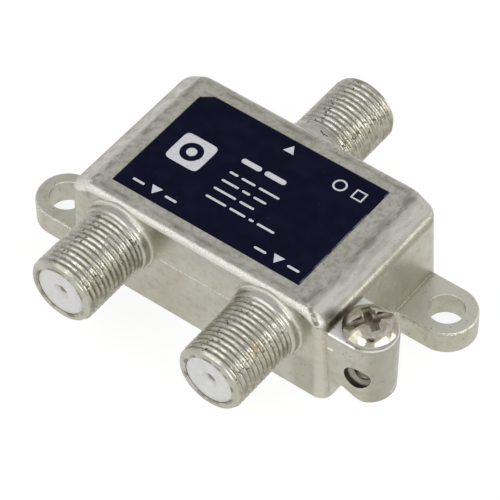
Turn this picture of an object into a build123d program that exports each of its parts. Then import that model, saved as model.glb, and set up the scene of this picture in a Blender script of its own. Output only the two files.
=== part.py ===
from build123d import *
import math
import os

os.makedirs("parts", exist_ok=True)

# Two-way coaxial splitter: a die-cast box with three screw-on ports, two fixing ears and an earthing block.
# Millimetres. The origin lies on the mounting plane under the middle of the body.
# +Z points out of the labelled top, +Y toward the input port, and +X toward the earthing block.

# Body of the casting
body_height = 15.5
body_width = 40.1
body_depth = 24.2
side_draft = 2.2
port_wall_draft = 0.4
shoulder_width = 3.3
shoulder_drop = 1.9
corner_radius = 1.7
top_edge_radius = 0.9
shoulder_radius = 3.0
foot_radius = 0.5
wall = 1.7
roof = 1.9

# Ports
port_drop = 5.6
port_spacing = 22.8
port_reach = 23.8
thread_diameter = 9.45
collar_diameter = 9.95
collar_length = 1.35
root_flare = 0.3
mouth_radius = 0.7
bore_diameter = 6.9
floor_thickness = 1.5
throat_diameter = 3.4

# Fixing ears
ear_spacing_x = 49.5
ear_spacing_y = 13.6
ear_radius = 4.08
ear_thickness = 3.5
ear_hole_diameter = 4.8
ear_edge_radius = 0.45
ear_root_radius = 1.5
ear_root_depth = 0.55

# Earthing block
block_x = 23.35
block_y = -7.65
block_radius = 3.42
block_draft = 1.0
block_bottom = 2.8
block_drop = 3.0
block_edge_radius = 0.25
arch_rise = 1.35
arch_crown_reach = 1.55
arch_end_reach = 1.45
arch_foot = 1.4
arch_bend = 0.25
arch_round = 0.8
wire_hole_diameter = 3.4
wire_hole_height = 7.0
wire_hole_offset = 0.5

# Earthing screw
screw_diameter = 4.0
screw_length = 7.5
screw_clearance = 0.05
screw_bottom_gap = 0.3
screw_tip_chamfer = 0.4
head_diameter = 6.8
head_height = 2.3
head_rim = 0.7
head_undercut = 0.35
head_overhang = 0.55
slot_width = 1.15
slot_depth = 1.5
cross_width = 1.1
cross_span = 3.8
cross_depth = 1.9
well_mouth = 2.7
well_foot = 1.0
screw_turn = 56.5

# Label
label_width = 28.5
label_depth = 18.5
label_thickness = 0.12
label_offset_x = -0.35
label_gap = 0.08
label_corner_x = 1.6
label_corner_y = 1.2

# Back cover
cover_thickness = 0.5
cover_setback = 0.4
cover_ledge = 0.8
cover_gap = 0.1
cover_corner = 1.6
cover_swage_inset = 2.2
cover_swage_depth = 0.25
stake_diameter = 2.0
stake_thickness = 0.25
stake_overlap = 0.35
stakes_per_side = 3

# Insulators and contacts
insulator_setback = 0.15
insulator_gap = 0.03
insulator_web = 1.1
entry_diameter = 1.3
entry_mouth_diameter = 2.3
entry_taper = 0.6
nose_reach = 0.4
clip_diameter = 2.0
clip_bore = 1.0
clip_length = 6.2
clip_slot = 0.25
clip_slot_length = 4.6
clip_gap = 0.05
tail_diameter = 0.9
tail_reach = 2.4
tail_gap = 0.05

# Circuit board and its posts
board_thickness = 0.8
board_margin = 0.6
board_corner = 1.0
post_diameter = 2.6
post_inset_x = 2.6
post_inset_y = 2.4
pin_diameter = 1.3
pin_gap = 0.05
pin_reach = 0.6

# Parts on the board
wire_diameter = 0.4
ring_outer = 5.2
ring_inner = 2.6
ring_height = 2.2
ring_edge = 0.2
ring_turns = 5
ring_turn_step = 36.0
ring_x = -3.9
ring_y = 1.2
wire_sides = 8
wire_gap = 0.05
twin_core_length = 4.0
twin_core_width = 5.2
twin_core_height = 3.0
twin_hole_diameter = 1.7
twin_hole_spacing = 2.4
twin_turns = 3
twin_turn_step = 0.5
twin_x = 3.6
twin_y = -0.6
drum_diameter = 3.6
drum_hub = 1.8
drum_height = 3.2
drum_flange = 0.5
drum_turns = 6
drum_x = 9.4
drum_y = 2.0
chip_length = 2.0
chip_width = 1.25
chip_edge = 0.1
resistor_height = 0.55
resistor_setback = 0.8
capacitor_height = 0.95
middle_setback = 3.6
in_setback = 2.4
out_setback = 4.4
out_x = 8.2
diode_length = 4.3
diode_width = 2.6
diode_height = 2.1
diode_tab = 0.5
diode_taper = 5
diode_tab_thickness = 0.2
diode_x = 13.2
diode_y = 0.0
solder_radius = 0.95

# Derived places
port_height = body_height - port_drop
block_top = body_height - block_drop
half_width = body_width / 2
half_depth = body_depth / 2
cavity_half_depth = half_depth - wall
cavity_top = body_height - roof
tail_end = cavity_half_depth - tail_reach
board_bottom = port_height + tail_diameter / 2 + tail_gap
board_top = board_bottom + board_thickness
ring_top = board_bottom - wire_diameter - wire_gap
barrel_radius = thread_diameter / 2
bore_floor = half_depth + floor_thickness
cover_bottom = cover_setback
cover_top = cover_setback + cover_thickness


def inset_at(height):
    """How far the drafted side wall has leaned in at a height."""
    return height * math.tan(math.radians(side_draft))


def body_section(inset, top):
    """Upright section across the body, moved in from the outside by one wall."""
    slope = math.hypot(shoulder_width, shoulder_drop)
    crease_height = body_height - shoulder_drop
    crease_x = half_width - inset_at(crease_height)
    shift = inset * slope / shoulder_width
    foot = half_width - inset
    knee_x = crease_x - inset
    knee_height = crease_height - shift + inset * shoulder_drop / shoulder_width
    brow_x = knee_x - (top - knee_height) * shoulder_width / shoulder_drop
    right = [(foot, 0), (knee_x, knee_height), (brow_x, top)]
    return right + [(-x, z) for x, z in reversed(right)]


def side_prism(inset, top, reach):
    """The body's cross-section, drawn out along the port direction."""
    outline = Plane.XZ * make_face(Polyline(*body_section(inset, top), close=True))
    return extrude(outline, amount=reach, both=True)


def end_prism(inset, top, reach):
    """The body seen from the side, drawn out across its width."""
    lean = top * math.tan(math.radians(port_wall_draft))
    foot = half_depth - inset
    outline = Polyline((-foot, 0), (foot, 0), (foot - lean, top), (lean - foot, top), close=True)
    return extrude(Plane.YZ * make_face(outline), amount=reach, both=True)


def upright_edges(shape, reach_x, reach_y):
    """Edges that climb the four corners of the body."""
    found = []
    for edge in shape.edges():
        middle = edge.center()
        climbs = abs(edge.bounding_box().size.Z) > 0.3 * body_height
        if climbs and abs(middle.X) > reach_x and abs(middle.Y) > reach_y:
            found.append(edge)
    return found


def edges_near(shape, height, tolerance, accept):
    """Edges whose middle lies at a height and passes a further test."""
    return [e for e in shape.edges() if abs(e.center().Z - height) < tolerance and accept(e)]


def body_shell():
    """Outer form of the box: drafted walls, sloped shoulders and rounded edges."""
    box = side_prism(0, body_height, body_depth) & end_prism(0, body_height, body_width)
    box = fillet(upright_edges(box, 0.8 * half_width, 0.8 * half_depth), corner_radius)
    along_y = edges_near(box, body_height, 0.01, lambda e: abs(e.center().X) > 0.6 * half_width)
    box = fillet(along_y, shoulder_radius)
    rim = edges_near(box, body_height, 0.01, lambda e: abs(e.center().Y) > 0.8 * half_depth)
    box = fillet(rim, top_edge_radius)
    return fillet(edges_near(box, 0, 0.01, lambda e: True), foot_radius)


def port_barrel():
    """One port's outside, turned about the Y axis, with its mouth toward +Y."""
    root = cavity_half_depth + 0.5 * wall
    collar_end = half_depth + collar_length
    collar = collar_diameter / 2
    outline = Polyline(
        (0, root),
        (collar + root_flare, root),
        (collar + root_flare, half_depth),
        (collar, half_depth + root_flare),
        (collar, collar_end),
        (barrel_radius, collar_end + 0.15),
        (barrel_radius, port_reach),
        (0, port_reach),
        close=True,
    )
    section = make_face(outline)
    lip = [v for v in section.vertices() if v.X > barrel_radius - 0.01 and v.Y > port_reach - 0.01]
    return revolve(fillet(lip, mouth_radius), axis=Axis.Y)


def port_bore():
    """What is bored out of one port: the wide bore and the throat into the body."""
    wide = bore_diameter / 2
    throat = throat_diameter / 2
    inner = cavity_half_depth - 1.0
    outline = Polyline(
        (0, inner),
        (throat, inner),
        (throat, bore_floor),
        (wide, bore_floor),
        (wide, port_reach + 1.0),
        (0, port_reach + 1.0),
        close=True,
    )
    return revolve(make_face(outline), axis=Axis.Y)


def at_ports(shape):
    """Copies of a port shape at the input and at both outputs, by name."""
    half = port_spacing / 2
    return {
        "in": Pos(0, 0, port_height) * shape,
        "out_left": Pos(-half, 0, port_height) * Rot(0, 0, 180) * shape,
        "out_right": Pos(half, 0, port_height) * Rot(0, 0, 180) * shape,
    }


def ear():
    """Right-hand ear: a flat tab with a round end, blended into the side wall."""
    centre_x = ear_spacing_x / 2
    centre_y = ear_spacing_y / 2
    inner = half_width - wall
    wall_face = half_width - ear_root_depth
    strip = Pos((inner + wall_face) / 2, 0) * Rectangle(wall_face - inner, body_depth - 2 * corner_radius)
    tab = Pos((inner + centre_x) / 2, centre_y) * Rectangle(centre_x - inner, 2 * ear_radius)
    outline = strip + tab + Pos(centre_x, centre_y) * Circle(ear_radius)
    on_wall = [v for v in outline.vertices() if abs(v.X - wall_face) < 0.01]
    roots = [v for v in on_wall if abs(abs(v.Y - centre_y) - ear_radius) < 0.01]
    plate = extrude(fillet(roots, ear_root_radius), amount=ear_thickness)
    rims = edges_near(plate, ear_thickness, 0.01, lambda e: e.center().X > half_width)
    plate = fillet(rims, ear_edge_radius)
    return plate - Pos(centre_x, centre_y, 0) * Cylinder(ear_hole_diameter / 2, 4 * ear_thickness)


def earth_block():
    """Earthing block: a drafted round boss tied to the side wall, arched underneath."""
    inner = half_width - wall
    web = Pos((inner + block_x) / 2, block_y) * Rectangle(block_x - inner, 2 * block_radius)
    outline = web + Pos(block_x, block_y) * Circle(block_radius)
    block = extrude(outline, amount=block_top, taper=-block_draft)
    rims = edges_near(block, block_top, 0.01, lambda e: e.center().X > half_width)
    block = fillet(rims, block_edge_radius)
    wall_foot = half_width - inset_at(arch_foot) - 0.05
    crown_x = block_x - arch_crown_reach
    crown = block_bottom + arch_rise
    bend = ((wall_foot + crown_x) / 2 - arch_bend, (arch_foot + crown) / 2 + arch_bend)
    far = block_x + 2 * block_radius
    arch = ThreePointArc((wall_foot, arch_foot), bend, (crown_x, crown))
    rest = Polyline(
        (crown_x, crown),
        (block_x + arch_end_reach, block_bottom),
        (far, block_bottom),
        (far, -1),
        (wall_foot, -1),
        (wall_foot, arch_foot),
    )
    opening = make_face([arch, rest])
    peak = [v for v in opening.vertices() if abs(v.X - crown_x) < 0.01]
    below = extrude(Plane.XZ * fillet(peak, arch_round), amount=body_depth, both=True)
    hidden = Pos(inner, block_y, arch_foot / 2) * Box(2 * (wall_foot - inner), body_depth, arch_foot)
    return block - below - hidden


def earth_holes():
    """The wire hole through the block and the screw's hole that crosses it."""
    wire = Rot(90, 0, 0) * Cylinder(wire_hole_diameter / 2, 4 * block_radius)
    wire = Pos(block_x + wire_hole_offset, block_y, wire_hole_height) * wire
    depth = screw_length + screw_bottom_gap
    screw_hole = Cylinder(screw_diameter / 2 + screw_clearance, depth + 1.0)
    return wire + Pos(block_x, block_y, block_top - depth / 2 + 0.5) * screw_hole


def board_posts():
    """Four posts under the roof, each with a thinner pin for the board."""
    post_height = cavity_top - board_top + 0.5
    pin_height = board_thickness + pin_reach
    post = Pos(0, 0, board_top + post_height / 2) * Cylinder(post_diameter / 2, post_height)
    pin = Pos(0, 0, board_top - pin_height / 2) * Cylinder(pin_diameter / 2, pin_height)
    return [Pos(x, y, 0) * (post + pin) for x, y in post_places()]


def board_half_size():
    """Half width and half depth of the board, clear of the cavity's walls."""
    half_x = half_width - wall - inset_at(board_top) - board_margin
    return half_x, cavity_half_depth - board_margin


def post_places():
    """Centres of the four posts."""
    half_x, half_y = board_half_size()
    x = half_x - post_inset_x
    y = half_y - post_inset_y
    return [(sx * x, sy * y) for sx in (-1, 1) for sy in (-1, 1)]


def cover_half_size(gap):
    """Half width and half depth of the cover's seat, or of the cover itself with a gap."""
    return half_width - wall + cover_ledge - gap, cavity_half_depth + cover_ledge - gap


def cover_stakes():
    """Rim metal peened over the cover's edge."""
    half_x, half_y = cover_half_size(0)
    height = cover_bottom - stake_thickness / 2
    stake = Cylinder(stake_diameter / 2, stake_thickness)
    reach = stake_diameter / 2 - stake_overlap
    step = 2 * half_x / (stakes_per_side + 1)
    stakes = []
    for side in (-1, 1):
        for place in range(stakes_per_side):
            x = -half_x + step * (place + 1)
            stakes.append(Pos(x, side * (half_y + reach), height) * stake)
    clip = Pos(0, 0, height) * Box(body_width - wall, body_depth - wall, stake_thickness)
    return [stake & clip for stake in stakes]


def housing():
    """The whole casting in one piece."""
    shape = body_shell()
    for barrel in at_ports(port_barrel()).values():
        shape += barrel
    right_ear = ear()
    shape += right_ear
    shape += Rot(0, 0, 180) * right_ear
    shape += earth_block()
    cavity = side_prism(wall, cavity_top, body_depth) & end_prism(wall, cavity_top, body_width)
    shape -= cavity
    seat_x, seat_y = cover_half_size(0)
    seat = extrude(RectangleRounded(2 * seat_x, 2 * seat_y, cover_corner), amount=cover_top)
    shape -= seat
    for bore in at_ports(port_bore()).values():
        shape -= bore
    shape -= earth_holes()
    for post in board_posts():
        shape += post
    for stake in cover_stakes():
        shape += stake
    return shape - label_outline(label_gap, label_thickness + 1.0)


def label_outline(gap, thickness):
    """The label's shape on the top face: a rectangle with one clipped corner."""
    x = label_width / 2 + gap
    y = label_depth / 2 + gap
    points = [(-x, -y), (x, -y), (x, y), (label_corner_x - x, y), (-x, y - label_corner_y)]
    face = make_face(Polyline(*points, close=True))
    base = body_height - label_thickness
    return Pos(label_offset_x, 0, base) * extrude(face, amount=thickness)


def back_cover():
    """Thin plate that closes the underside, with a shallow pressed field."""
    half_x, half_y = cover_half_size(cover_gap)
    plate = Pos(0, 0, cover_bottom) * extrude(
        RectangleRounded(2 * half_x, 2 * half_y, cover_corner - cover_gap), amount=cover_thickness
    )
    inset = cover_ledge + cover_swage_inset
    field = RectangleRounded(2 * (half_x - inset), 2 * (half_y - inset), cover_corner)
    raised = Pos(0, 0, cover_top) * extrude(field, amount=cover_swage_depth, taper=45)
    sunk = Pos(0, 0, cover_bottom) * extrude(field, amount=cover_swage_depth, taper=45)
    return plate + raised - sunk


def ground_screw():
    """Pan-head screw with a combined slot and cross recess, seated on the block."""
    shank_radius = screw_diameter / 2
    head_radius = head_diameter / 2
    crown = head_height - head_rim
    dome_radius = (head_radius ** 2 + crown ** 2) / (2 * crown)
    tip = Polyline(
        (0, -screw_length),
        (shank_radius - screw_tip_chamfer, -screw_length),
        (shank_radius, screw_tip_chamfer - screw_length),
        (shank_radius, 0),
        (head_radius - head_overhang, 0),
        (head_radius, head_undercut),
        (head_radius, head_rim),
    )
    dome = RadiusArc((head_radius, head_rim), (0, head_height), -dome_radius)
    back = Line((0, head_height), (0, -screw_length))
    blank = revolve(Plane.XZ * make_face([tip, dome, back]), axis=Axis.Z)
    slot = Pos(0, 0, head_height) * Box(2 * head_diameter, slot_width, 2 * slot_depth)
    arm = Pos(0, 0, head_height) * Box(cross_span, cross_width, 2 * cross_depth)
    well = Pos(0, 0, head_height - cross_depth / 2) * Cone(well_foot / 2, well_mouth / 2, cross_depth)
    recess = slot + well + arm + Rot(0, 0, 90) * arm
    return Pos(block_x, block_y, block_top) * Rot(0, 0, screw_turn) * (blank - recess)


def insulator():
    """White plug in a port, turned about the Y axis, hollow for its contact."""
    face = port_reach - insulator_setback
    body = bore_diameter / 2 - insulator_gap
    nose = throat_diameter / 2 - insulator_gap
    pocket = clip_diameter / 2 + clip_gap
    pocket_start = face - insulator_web
    pocket_end = pocket_start - clip_length - clip_gap
    nose_end = cavity_half_depth - nose_reach
    outline = Polyline(
        (tail_diameter / 2 + clip_gap, nose_end),
        (nose, nose_end),
        (nose, bore_floor),
        (body, bore_floor),
        (body, face),
        (entry_mouth_diameter / 2, face),
        (entry_diameter / 2, face - entry_taper),
        (entry_diameter / 2, pocket_start),
        (pocket, pocket_start),
        (pocket, pocket_end),
        (tail_diameter / 2 + clip_gap, pocket_end),
        close=True,
    )
    return revolve(make_face(outline), axis=Axis.Y)


def contact():
    """Split spring clip with a tail that reaches the board."""
    start = port_reach - insulator_setback - insulator_web - clip_gap
    end = start - clip_length + clip_gap
    clip_radius = clip_diameter / 2
    outline = Polyline(
        (0, tail_end),
        (tail_diameter / 2, tail_end),
        (tail_diameter / 2, end),
        (clip_radius, end),
        (clip_radius, start),
        (clip_bore / 2, start),
        (clip_bore / 2, start - clip_slot_length),
        (0, start - clip_slot_length),
        close=True,
    )
    shape = revolve(make_face(outline), axis=Axis.Y)
    slot = Pos(0, start - clip_slot_length / 2, 0) * Box(2 * clip_diameter, clip_slot_length, clip_slot)
    return shape - slot - Rot(0, 90, 0) * slot


def solder_joint():
    """Solder that ties one contact's tail to the underside of the board."""
    place = tail_end + 0.8 * solder_radius
    drop = board_bottom - port_height
    bead = Pos(0, place, 0) * Sphere(solder_radius)
    reach = 4 * solder_radius
    below = Pos(0, place, drop - reach / 2) * Box(reach, reach, reach)
    tail = Pos(0, place, 0) * Rot(90, 0, 0) * Cylinder(tail_diameter / 2, reach)
    bead = (bead & below) - tail
    return bead.solids().sort_by(SortBy.VOLUME)[-1]


def circuit_board():
    """Board that rests on the posts, pierced by their pins."""
    half_x, half_y = board_half_size()
    board = Pos(0, 0, board_bottom) * extrude(
        RectangleRounded(2 * half_x, 2 * half_y, board_corner), amount=board_thickness
    )
    for x, y in post_places():
        board -= Pos(x, y, board_bottom) * Cylinder(pin_diameter / 2 + pin_gap, 4 * board_thickness)
    return board


def turn_of_wire(width, height):
    """One closed turn of wire, flat on the XY plane, with rounded corners."""
    path = RectangleRounded(width, height, wire_diameter).face().outer_wire()
    section = Plane(path @ 0, z_dir=path % 0) * RegularPolygon(wire_diameter / 2, wire_sides)
    return sweep(section, path=path)


def matching_core():
    """Ferrite ring of the input transformer."""
    ring = Cylinder(ring_outer / 2, ring_height) - Cylinder(ring_inner / 2, 2 * ring_height)
    ring = chamfer(ring.edges().filter_by(GeomType.CIRCLE), ring_edge)
    return Pos(ring_x, ring_y, ring_top - ring_height / 2) * ring


def matching_winding():
    """Turns of wire round the ring, tied together by the run along the board."""
    radius = wire_diameter / 2
    inner = ring_inner / 2 - radius - wire_gap
    outer = ring_outer / 2 + radius + wire_gap
    low = ring_top - ring_height - radius - wire_gap
    high = ring_top + radius + wire_gap
    middle = Pos((inner + outer) / 2, 0, (high + low) / 2)
    turn = middle * Rot(90, 0, 0) * turn_of_wire(outer - inner, high - low)
    sweep_angle = ring_turn_step * (ring_turns - 1)
    link_profile = Plane.XZ * Pos(outer - 2 * radius, high) * RegularPolygon(radius, wire_sides)
    link = revolve(link_profile, axis=Axis.Z, revolution_arc=sweep_angle)
    shape = link
    for number in range(ring_turns):
        shape += Rot(0, 0, ring_turn_step * number) * turn
    return Pos(ring_x, ring_y, 0) * Rot(0, 0, -sweep_angle / 2 - 90) * shape


def hybrid_core():
    """Two-hole ferrite core of the dividing transformer."""
    outline = RectangleRounded(twin_core_width, twin_core_height, 0.49 * twin_core_height)
    block = extrude(Plane.XZ * outline, amount=twin_core_length / 2, both=True)
    for side in (-1, 1):
        hole = Rot(90, 0, 0) * Cylinder(twin_hole_diameter / 2, 2 * twin_core_length)
        block -= Pos(side * twin_hole_spacing / 2, 0, 0) * hole
    return Pos(twin_x, twin_y, twin_height()) * block


def twin_height():
    """Height of the two-hole core's centre, with its top on the board."""
    return board_bottom - twin_core_height / 2


def hybrid_winding():
    """Turns through both holes, with two legs up to the board."""
    radius = wire_diameter / 2
    reach = twin_core_length + 2 * (2 * radius + wire_gap)
    turn = turn_of_wire(twin_hole_spacing, reach - 2 * radius)
    spread = twin_turn_step * (twin_turns - 1)
    leg_y = twin_core_length / 2 + radius + wire_gap
    leg_height = twin_core_height / 2 + spread / 2
    leg = Pos(0, -leg_y, (twin_core_height / 2 - spread / 2) / 2) * Cylinder(radius, leg_height)
    shape = Pos(-twin_hole_spacing / 4, 0, 0) * leg + Pos(twin_hole_spacing / 4, 0, 0) * leg
    for number in range(twin_turns):
        shape += Pos(0, 0, twin_turn_step * number - spread / 2) * turn
    return Pos(twin_x, twin_y, twin_height()) * shape


def choke_core():
    """Drum core with a flange at each end."""
    flange = drum_diameter / 2
    hub = drum_hub / 2
    outline = Polyline(
        (0, 0),
        (flange, 0),
        (flange, drum_flange),
        (hub, drum_flange),
        (hub, drum_height - drum_flange),
        (flange, drum_height - drum_flange),
        (flange, drum_height),
        (0, drum_height),
        close=True,
    )
    return Pos(0, 0, board_bottom - drum_height) * revolve(Plane.XZ * make_face(outline), axis=Axis.Z)


def choke_winding():
    """One close layer of turns on the drum's hub."""
    hub = drum_hub / 2
    room = drum_height - 2 * drum_flange
    pitch = room / drum_turns
    base = hub + 0.25 * pitch
    points = [(hub, drum_flange), (base, drum_flange)]
    for number in range(drum_turns):
        low = drum_flange + number * pitch
        crest = base + 0.4 * pitch
        points += [(crest, low + 0.3 * pitch), (crest, low + 0.7 * pitch), (base, low + pitch)]
    points.append((hub, drum_height - drum_flange))
    outline = make_face(Polyline(*points, close=True))
    return Pos(0, 0, board_bottom - drum_height) * revolve(Plane.XZ * outline, axis=Axis.Z)


def chip(height):
    """Surface-mount chip, hanging under the board."""
    body = fillet(Box(chip_length, chip_width, height).edges().filter_by(Axis.Y), chip_edge)
    return Pos(0, 0, board_bottom - height / 2) * body


def diode():
    """Moulded diode with a tab at each end."""
    low = board_bottom - diode_height
    half = Pos(0, 0, low + diode_height / 2)
    body_length = diode_length - 2 * diode_tab
    outline = Rectangle(body_length, diode_width)
    block = extrude(outline, amount=diode_height / 2, taper=diode_taper, both=True)
    tab_height = board_bottom - diode_tab_thickness / 2
    tabs = Pos(0, 0, tab_height) * Box(diode_length, diode_width / 2, diode_tab_thickness)
    return half * block + tabs


parts = {
    "housing": housing(),
    "back_cover": back_cover(),
    "label": label_outline(0, label_thickness),
    "ground_screw": ground_screw(),
    "circuit_board": circuit_board(),
    "matching_core": matching_core(),
    "matching_winding": matching_winding(),
    "hybrid_core": hybrid_core(),
    "hybrid_winding": hybrid_winding(),
    "isolation_resistor": Pos(twin_x, resistor_setback - tail_end, 0) * chip(resistor_height),
    "compensation_capacitor": Pos(ring_x, middle_setback - tail_end, 0) * chip(capacitor_height),
    "coupling_capacitor_in": Pos(twin_x, tail_end - in_setback, 0) * chip(capacitor_height),
}
for name, shape in at_ports(insulator()).items():
    parts["insulator_" + name] = shape
for name, shape in at_ports(contact()).items():
    parts["contact_" + name] = shape
for name, shape in at_ports(solder_joint()).items():
    parts["solder_joint_" + name] = shape
for side, sign in (("left", -1), ("right", 1)):
    out_place = Pos(sign * out_x, out_setback - tail_end, 0)
    parts["coupling_capacitor_out_" + side] = out_place * chip(capacitor_height)
    parts["choke_core_" + side] = Pos(sign * drum_x, drum_y, 0) * choke_core()
    parts["choke_winding_" + side] = Pos(sign * drum_x, drum_y, 0) * choke_winding()
    parts["steering_diode_" + side] = Pos(sign * diode_x, diode_y, 0) * Rot(0, 0, 90) * diode()

for name, shape in parts.items():
    export_step(shape, "parts/" + name + ".step")
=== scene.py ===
"""Looks of the two-way coaxial splitter: a plated casting with threads, a dark label and a clamp screw.

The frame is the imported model's: metres, +Z out of the labelled top, +Y toward the input port, +X toward the
earthing block. Shapes and shader patterns are written in millimetres and scaled by MM.
"""

import math

import bmesh
import bpy
from mathutils import Matrix, Vector, noise

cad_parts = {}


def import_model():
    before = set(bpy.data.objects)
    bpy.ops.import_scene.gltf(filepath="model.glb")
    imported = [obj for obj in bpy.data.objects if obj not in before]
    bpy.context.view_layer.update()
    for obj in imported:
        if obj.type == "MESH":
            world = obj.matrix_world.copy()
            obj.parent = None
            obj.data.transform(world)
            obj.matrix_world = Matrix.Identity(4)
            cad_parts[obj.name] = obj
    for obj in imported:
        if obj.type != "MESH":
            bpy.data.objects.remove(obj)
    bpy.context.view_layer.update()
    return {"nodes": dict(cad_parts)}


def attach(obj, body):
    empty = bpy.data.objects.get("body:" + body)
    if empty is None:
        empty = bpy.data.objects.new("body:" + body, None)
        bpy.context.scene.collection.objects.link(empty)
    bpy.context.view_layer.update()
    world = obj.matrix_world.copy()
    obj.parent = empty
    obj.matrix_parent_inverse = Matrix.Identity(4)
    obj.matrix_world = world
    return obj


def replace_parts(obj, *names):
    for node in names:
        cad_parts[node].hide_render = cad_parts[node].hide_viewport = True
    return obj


MM = 0.001
TAU = 2 * math.pi

# Ports: place along X and direction along Y, then the outline of a barrel and the thread cast on it
PORTS = {"in": (0.0, 1), "out_left": (-11.4, -1), "out_right": (11.4, -1)}
PORT_HEIGHT = 9.9
ROOT_START = 12.1
ROOT_FLARE = 0.3
COLLAR_RADIUS = 4.975
COLLAR_END = 13.3
BARREL_RADIUS = 4.725
BARREL_START = 13.6
BARREL_END = 23.1
LIP_ROUND = 0.7
MOUTH = BARREL_END + LIP_ROUND
THREAD_PITCH = 0.794
THREAD_DEPTH = 0.27
THREAD_NECK = 0.15
THREAD_RUN_IN = 0.4
THREAD_RUN_OUT = 0.4 * LIP_ROUND

# The thread is shallow and worn at its sides, in radians from level, and a little worn everywhere
FLAT_SIDE = (0.08, 0.5)
FLAT_DEPTH = 0.4
FLAT_WEAR = 0.05
THREAD_WEAR = 0.03

# Casting faults: how fast they change round and along a barrel, from port to port, and in the finer wear,
# then how deep they make the thread and how far they shift it
FAULT_ROUND = 4
FAULT_ALONG = 1.1
FAULT_PORT = 7
FAULT_FINE = 3.1
FAULT_DEPTH = (0.85, 0.45)
FAULT_SHIFT = 0.05

# Mesh of the turned parts: points round them, and rings along them for a turn or a quarter round
BARREL_POINTS = 128
THREAD_RINGS = 13
ROOT_RINGS = 6
LIP_RINGS = 10
COLLAR_STATIONS = (12.7, 13.0, COLLAR_END, 13.38, 13.45, 13.52)
SHANK_POINTS = 48
SHANK_RINGS = 10

# Die seams, as thin beads: start, end and radius
SEAMS = (
    ((19.93, 2.7, 3.5), (19.93, 10.5, 3.5), 0.07),
    ((-19.93, -2.7, 3.5), (-19.93, -10.5, 3.5), 0.07),
)
BEAD_POINTS = 8
BEAD_TIP = 0.06

# Clamp screw
SCREW_PLACE = (23.35, -7.65)
SHANK_RADIUS = 2.0
SHANK_TOP = 12.5
SHANK_END = 5.4
SHANK_PITCH = 0.7
SHANK_DEPTH = 0.36
SHANK_RUN_OUT = 0.5
SHANK_RUN_IN = 0.3

# How near the CAD's plain cylinders a point has to be to be replaced: along their axes and off their radius
NEAR_ALONG = 0.01
NEAR_RADIUS = 0.02

# Wire hole through the block: its axis in X and Z, its radius and its mouth in Y
HOLE_PLACE = (23.85, 7.0)
HOLE_RADIUS = 1.7
HOLE_MOUTH = (-11.6, -11.3)

# Holes in the fixing ears: distance along X and Y from the middle, and radius
EAR_HOLE = (24.75, 6.8)
EAR_HOLE_RADIUS = 2.4

# Where the casting's surfaces lie: distances across X and along Y from the middle, and heights
TOP_EDGE = 16.5
RIM_LINE = 10.7
RIM_MIDDLE = 11.7
SHOULDER_FOOT = 13.0
BLOCK_TOP = 12.5
EAR_TOP = 3.5

# Runs over which masks come and go: at the front wall, beyond the walls, onto the block, back from the front
# rim, onto and off the threads along a barrel, and from their axis past the bore and out of the grooves
FRONT_WALL = (-11.4, -11.6)
PAST_WALLS = (12.1, 12.3)
ONTO_BLOCK = (20.2, 20.4)
BLOCK_HEIGHT = (11.8, 12.0)
BACK_FROM_FRONT = (-9.0, -7.0)
ONTO_THREAD = (13.5, 13.7)
OFF_THREAD = (23.3, 23.6)
PAST_BORE = (4.0, 4.1)
OUT_OF_GROOVE = (4.46, 4.62)

# Runs of noise over which a pattern turns from one tone to the other
EVEN = (0.36, 0.64)
GENTLE = (0.35, 0.7)

# Marks on the casting: a streak's two ends or a spot's middle, then its inner and outer radius. The seam line
# and the block's dash and edge are painted highlights, and the spot by the screw a painted shadow.
SEAM_LINE = ((-5.2, -12.05, 9.35), (6.2, -12.05, 9.4), 0.04, 0.13)
BLOCK_DASH = ((19.85, -11.24, 9.83), (20.4, -11.24, 9.87), 0.1, 0.24)
BLOCK_EDGE_GLINT = ((19.9, -11.1, 12.45), (23.4, -11.05, 12.45), 0.12, 0.32)
NICK = (
    ((0.69, 13.1, 14.83), (1.29, 12.9, 14.71), 0.04, 0.13),
    ((1.29, 12.9, 14.71), (1.78, 13.1, 14.54), 0.02, 0.12),
)
GOUGE = ((17.05, -11.12, 14.98), (18.4, -11.78, 13.85), 0.16, 0.5)
# Painted shadow of the clamp screw, on the wall above the block
SCREW_SHADE = ((19.6, -9.7, 13.1), 0.6, 2.3)
STAIN = ((14.6, -18.7, 13.3), 0.3, 1.6)

# What lies on the plating, and the painted highlights, light and shade laid over it, in display values
TONES = {
    "cloud": (152, 148, 132),
    "grain": (214, 212, 205),
    "streak": (128, 125, 113),
    # Painted highlights: on the shoulders, along the front rim and on worn edges
    "shoulder": (214, 212, 204),
    "rim": (246, 245, 240),
    "edge": (222, 220, 210),
    "shoulder_foot": (142, 136, 114),
    # Painted highlights: round the ear holes, along the seams and on the block's front edge
    "hole_rim_highlight": (240, 237, 222),
    "seam_highlight": (236, 234, 226),
    "block_edge_highlight": (250, 249, 244),
    # Painted shade on the block's far side, light on the ear's top, a highlight down the front right corner,
    # shade low on the front wall, light on the block's top
    "block_side_shade": (150, 147, 132),
    "ear_top_light": (212, 210, 201),
    "corner": (216, 213, 200),
    "low_wall_shade": (138, 134, 114),
    "block_top_light": (222, 223, 223),
    # Grime, with painted shade on the barrels' sides and darkening at their roots and in their grooves
    "dirt_and_shade": (116, 110, 90),
    "blotch": (128, 123, 106),
    # Painted shadow of the clamp screw
    "screw_shade": (64, 59, 46),
    "stain": (154, 136, 94),
    "pit": (74, 68, 52),
    "gouge": (112, 108, 94),
    # Painted light, paler in the hollows of the barrels' roots
    "flare": (204, 201, 190),
}

# Label, and half the height of the ink on it
LABEL_X = -0.35
LABEL_HALF_WIDTH = 14.25
LABEL_HALF_DEPTH = 9.25
LABEL_TOP = 15.5
INK = 0.012

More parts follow.
